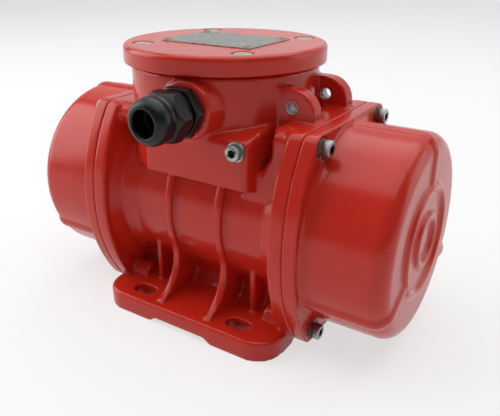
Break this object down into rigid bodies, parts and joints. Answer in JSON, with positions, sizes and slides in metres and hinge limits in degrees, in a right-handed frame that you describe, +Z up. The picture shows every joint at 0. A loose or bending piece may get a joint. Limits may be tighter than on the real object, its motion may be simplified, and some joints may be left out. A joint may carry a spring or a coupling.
{
  "type": "vibration motor",
  "caption": "Foot-mounted electric vibration motor with ribbed cast housing, round terminal box, cable gland, lifting lugs and cup covers over adjustable unbalance weights.",
  "frame": {"origin": "middle of the four foot slots, in the plane of the foot's pads", "axes": "+X along the shaft, -Y towards the cable gland, +Z up from the foot to the terminal box"},
  "size_m": [0.234, 0.1501, 0.1569],
  "materials": {
    "enamel": "gloss",
    "zinc_screw": "satin",
    "zinc_washer": "satin",
    "seal_rubber": "matte",
    "plate": "satin",
    "brass": "satin",
    "nylon": "satin",
    "terminal_moulding": "matte",
    "lamination": "matte",
    "winding": "gloss",
    "cast_shield": "matte",
    "bearing_steel": "gloss",
    "bearing_brass": "satin",
    "spring_steel": "satin",
    "shaft_steel": "satin",
    "rotor_aluminium": "satin",
    "weight_steel": "matte"
  },
  "bodies": {
    "root": {"motor_housing": "enamel", "left_weight_cover": "enamel", "right_weight_cover": "enamel", "left_cover_screws": "zinc_screw", "right_cover_screws": "zinc_screw", "left_cover_washers": "zinc_washer", "right_cover_washers": "zinc_washer", "left_cover_seal": "seal_rubber", "right_cover_seal": "seal_rubber", "terminal_box_lid": "enamel", "lid_gasket": "seal_rubber", "lid_screws": "zinc_screw", "nameplate": "plate", "nameplate_rivets": "brass", "gland_body": "nylon", "gland_dome_nut": "nylon", "gland_seal_insert": "seal_rubber", "gland_washer": "seal_rubber", "earth_screw": "zinc_screw", "earth_washer": "zinc_washer", "terminal_block": "terminal_moulding", "terminal_studs": "brass", "terminal_nuts": "brass", "terminal_links": "brass", "terminal_block_screws": "zinc_screw", "lead_grommet": "seal_rubber", "stator_core": "lamination", "stator_windings": "winding", "left_bearing_shield": "cast_shield", "right_bearing_shield": "cast_shield", "bearing_shield_screws": "zinc_screw", "left_bearing_outer_race": "bearing_steel", "right_bearing_outer_race": "bearing_steel", "left_bearing_circlip": "spring_steel", "right_bearing_circlip": "spring_steel", "left_shaft_seal": "seal_rubber", "right_shaft_seal": "seal_rubber"},
    "rotor": {"rotor_shaft": "shaft_steel", "rotor_core": "lamination", "rotor_cage": "rotor_aluminium", "left_bearing_inner_race": "bearing_steel", "right_bearing_inner_race": "bearing_steel", "left_spacer_sleeve": "shaft_steel", "right_spacer_sleeve": "shaft_steel", "left_fixed_weight": "weight_steel", "right_fixed_weight": "weight_steel", "weight_keys": "shaft_steel", "left_setting_disc": "rotor_aluminium", "right_setting_disc": "rotor_aluminium", "shaft_end_washers": "spring_steel", "shaft_end_circlips": "spring_steel"},
    "left_roller_set": {"left_bearing_rollers": "bearing_steel", "left_bearing_cage": "bearing_brass"},
    "right_roller_set": {"right_bearing_rollers": "bearing_steel", "right_bearing_cage": "bearing_brass"},
    "left_setting": {"left_adjustable_weight": "weight_steel", "left_clamp_screw": "zinc_screw"},
    "right_setting": {"right_adjustable_weight": "weight_steel", "right_clamp_screw": "zinc_screw"}
  },
  "joints": [
    {"name": "rotor_spin", "type": "hinge", "parent": "root", "child": "rotor", "pos_m": [0, 0, 0.064], "axis": [1, 0, 0], "continuous": true},
    {"name": "left_roller_orbit", "type": "hinge", "parent": "root", "child": "left_roller_set", "pos_m": [-0.05245, 0, 0.064], "axis": [1, 0, 0], "continuous": true},
    {"name": "right_roller_orbit", "type": "hinge", "parent": "root", "child": "right_roller_set", "pos_m": [0.05245, 0, 0.064], "axis": [1, 0, 0], "continuous": true},
    {"name": "left_weight_setting", "type": "hinge", "parent": "rotor", "child": "left_setting", "pos_m": [-0.08975, 0, 0.064], "axis": [1, 0, 0], "range_deg": [0, 180]},
    {"name": "right_weight_setting", "type": "hinge", "parent": "rotor", "child": "right_setting", "pos_m": [0.08975, 0, 0.064], "axis": [1, 0, 0], "range_deg": [0, 180]}
  ],
  "couplings": [
    {"joint": "left_roller_orbit", "follows": "rotor_spin", "ratio": 0.3936},
    {"joint": "right_roller_orbit", "follows": "rotor_spin", "ratio": 0.3936}
  ]
}
